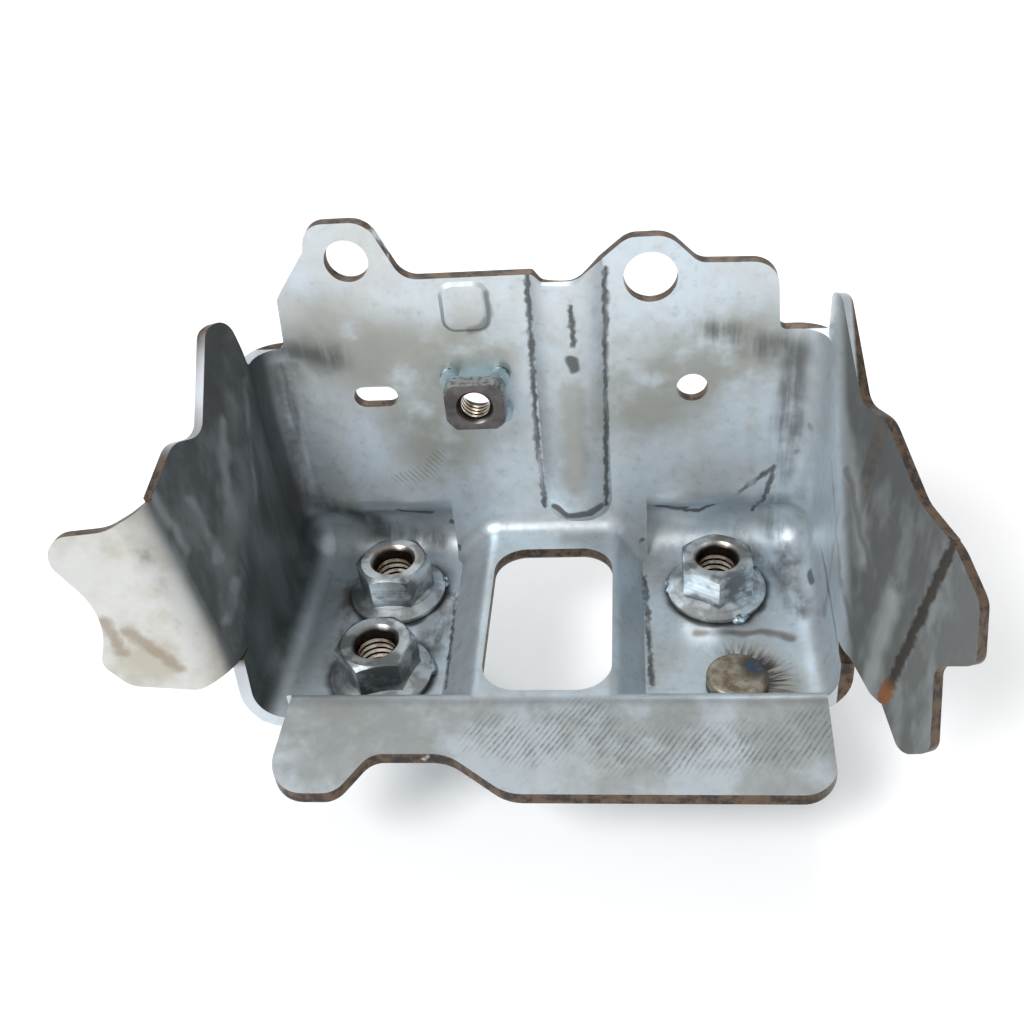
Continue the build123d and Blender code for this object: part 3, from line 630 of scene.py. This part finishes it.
def thread(name, paint, root, crest, pitch, length, place, turn=(0, 0, 0)):
    """A helical ridge from the root radius to the crest radius, its axis from place along local z."""
    bpy.ops.object.select_all(action="DESELECT")
    bpy.ops.mesh.primitive_circle_add(vertices=3, radius=1.0)
    start_piece(name)
    depth = crest - root
    bpy.ops.transform.rotate(value=pi / 2, orient_axis="Z", center_override=(0, 0, 0))
    if depth > 0:
        bpy.ops.transform.rotate(value=pi, orient_axis="Z", center_override=(0, 0, 0))
    size = (abs(depth) / TRIANGLE_HEIGHT * MM, pitch * THREAD_WIDTH / TRIANGLE_SIDE * MM, 1)
    bpy.ops.transform.resize(value=size, center_override=(0, 0, 0))
    bpy.ops.transform.rotate(value=pi / 2, orient_axis="X", center_override=(0, 0, 0))
    bpy.ops.transform.translate(value=((root + depth / 3) * MM, 0, 0))
    bpy.ops.object.mode_set(mode="OBJECT")
    thing = bpy.context.object
    screw = thing.modifiers.new("turns", "SCREW")
    screw.axis = "Z"
    screw.screw_offset = pitch * MM
    screw.iterations = int(length / pitch)
    screw.steps = THREAD_STEPS
    screw.render_steps = THREAD_STEPS
    bpy.ops.object.modifier_apply(modifier="turns")
    bpy.ops.object.mode_set(mode="EDIT")
    bpy.ops.mesh.select_all(action="SELECT")
    bpy.ops.mesh.remove_doubles(threshold=0.00001)
    bpy.ops.mesh.fill_holes(sides=4)
    bpy.ops.object.mode_set(mode="OBJECT")
    thing.location = Vector(place) * MM
    thing.rotation_euler = turn
    bpy.ops.object.mode_set(mode="EDIT")
    return finish_piece(paint)


def lump(place, size, turn, seed):
    """A squeezed bead of weld metal."""
    bpy.ops.object.select_all(action="DESELECT")
    bpy.ops.mesh.primitive_uv_sphere_add(segments=28, ring_count=16, radius=MM)
    start_piece("lump")
    bpy.ops.transform.resize(value=size, center_override=(0, 0, 0))
    bpy.ops.transform.rotate(value=-turn, orient_axis="Z", center_override=(0, 0, 0))
    bpy.ops.object.mode_set(mode="OBJECT")
    thing = bpy.context.object
    thing.location = Vector(place) * MM
    bpy.ops.object.transform_apply(location=True, rotation=False, scale=False)
    texture = bpy.data.textures.new("bead%d" % seed, "CLOUDS")
    texture.noise_scale = 1.3 * MM
    rough = thing.modifiers.new("bead", "DISPLACE")
    rough.texture = texture
    rough.texture_coords = "GLOBAL"
    rough.strength = 0.7 * MM
    bpy.ops.object.modifier_apply(modifier="bead")
    return thing


def beads(name, paint, spots):
    """Several lumps joined into one piece."""
    lumps = [lump(place, size, turn, seed) for seed, (place, size, turn) in enumerate(spots)]
    bpy.ops.object.select_all(action="DESELECT")
    for thing in lumps:
        thing.select_set(True)
    bpy.context.view_layer.objects.active = lumps[0]
    if len(lumps) > 1:
        bpy.ops.object.join()
    start_piece(name)
    return finish_piece(paint, 180)


def welds(paint):
    """The squeezed-out metal at the nuts' flanges and at the square nut's feet."""
    out = NUT_FLANGE_RADIUS - 0.3
    for name, (x, y) in NUTS.items():
        spots = []
        for turn in NUT_LOOKS[name][2]:
            way = radians(turn)
            place = (x + cos(way) * out, y + sin(way) * out, SHEET + 0.4)
            spots.append((place, (1.3, 2.4, 1.1), way))
        beads(name.replace("weld_nut", "nut_welds"), paint, spots)
    x, z = SQUARE_NUT
    spots = []
    for side in (-1, 1):
        for level in (-1, 1):
            place = (x + side * 5.6, WALL_Y - 1.0, z + level * 4.7)
            spots.append((place, (1.9, 1.5, 1.9) if level > 0 else (1.3, 1.0, 1.3), 0))
    beads("square_nut_welds", paint, spots)


def camera():
    """The camera at the photograph's place, with its off-centre middle as a small shift."""
    pitch, yaw, roll = radians(PITCH), radians(YAW), radians(ROLL)
    ahead = Vector((sin(yaw) * cos(pitch), cos(yaw) * cos(pitch), -sin(pitch)))
    right = Vector((cos(yaw), -sin(yaw), 0))
    down = ahead.cross(right)
    across = right * cos(roll) + down * sin(roll)
    below = down * cos(roll) - right * sin(roll)
    data = bpy.data.cameras.new("camera")
    data.sensor_width = SENSOR
    data.lens = FOCAL * SENSOR / IMAGE
    data.shift_x = (IMAGE / 2 - CENTRE[0]) / IMAGE
    data.shift_y = (CENTRE[1] - IMAGE / 2) / IMAGE
    data.clip_start = 0.01
    thing = bpy.data.objects.new("camera", data)
    bpy.context.scene.collection.objects.link(thing)
    turn = Matrix((across, -below, -ahead)).transposed()
    thing.matrix_world = Matrix.Translation(EYE) @ turn.to_4x4()
    bpy.context.scene.camera = thing


def lamp(name, place, aim, size, power):
    data = bpy.data.lights.new(name, "AREA")
    data.shape = "RECTANGLE"
    data.size, data.size_y = size
    data.energy = power
    thing = bpy.data.objects.new(name, data)
    bpy.context.scene.collection.objects.link(thing)
    place = Vector(place)
    turn = (Vector(aim) - place).to_track_quat("-Z", "Y")
    thing.matrix_world = Matrix.Translation(place) @ turn.to_matrix().to_4x4()


def surroundings():
    world = bpy.data.worlds.new("room")
    bpy.context.scene.world = world
    world.use_nodes = True
    back = world.node_tree.nodes["Background"]
    back.inputs["Color"].default_value = (1, 1, 1, 1)
    back.inputs["Strength"].default_value = WORLD_STRENGTH
    lamp("key", (-1.0, -1.0, 1.4), LIGHT_AIM, (0.8, 0.8), KEY_POWER)
    lamp("rim", (0.1, 1.5, 1.6), LIGHT_AIM, (0.9, 0.4), RIM_POWER)
    bpy.ops.mesh.primitive_plane_add(size=FLOOR_SIZE, location=(0, 0, FLOOR_Z * MM))
    floor = bpy.context.object
    floor.name = "floor"
    paint = Paint("floor")
    paint.set(Base_Color=(1, 1, 1), Roughness=1.0)
    dress(floor, paint)


dress(nodes["bracket_stamping"], pressed_steel())
for name, (tint, depth, turns) in NUT_LOOKS.items():
    dress(nodes[name], nut_steel(name.replace("_", " "), NUTS[name], tint, depth))
dress(nodes["square_weld_nut"], square_nut_steel())
dress(nodes["weld_bolt"], bolt_steel())
threads = thread_steel()
for name, (x, y) in NUTS.items():
    thread(name.replace("weld_nut", "nut_thread"), threads, NUT_BORE + THREAD_SUNK, NUT_BORE - 0.5,
           NUT_PITCH, NUT_HEIGHT - 1.5, (x, y, SHEET + 0.4))
thread("square_nut_thread", threads, SQUARE_NUT_BORE + THREAD_SUNK, SQUARE_NUT_BORE - 0.4,
       M8_PITCH, SQUARE_NUT_DEPTH - 0.8, (SQUARE_NUT[0], WALL_Y - 0.2, SQUARE_NUT[1]), (pi / 2, 0, 0))
thread("bolt_thread", threads, BOLT_RADIUS - THREAD_SUNK, BOLT_RADIUS + 0.2,
       M8_PITCH, BOLT_LENGTH - 4.0, (0, 0, SHEET - BOLT_LENGTH + 1.2))
welds(weld_metal())
camera()
surroundings()
bpy.context.scene.view_settings.view_transform = "Standard"
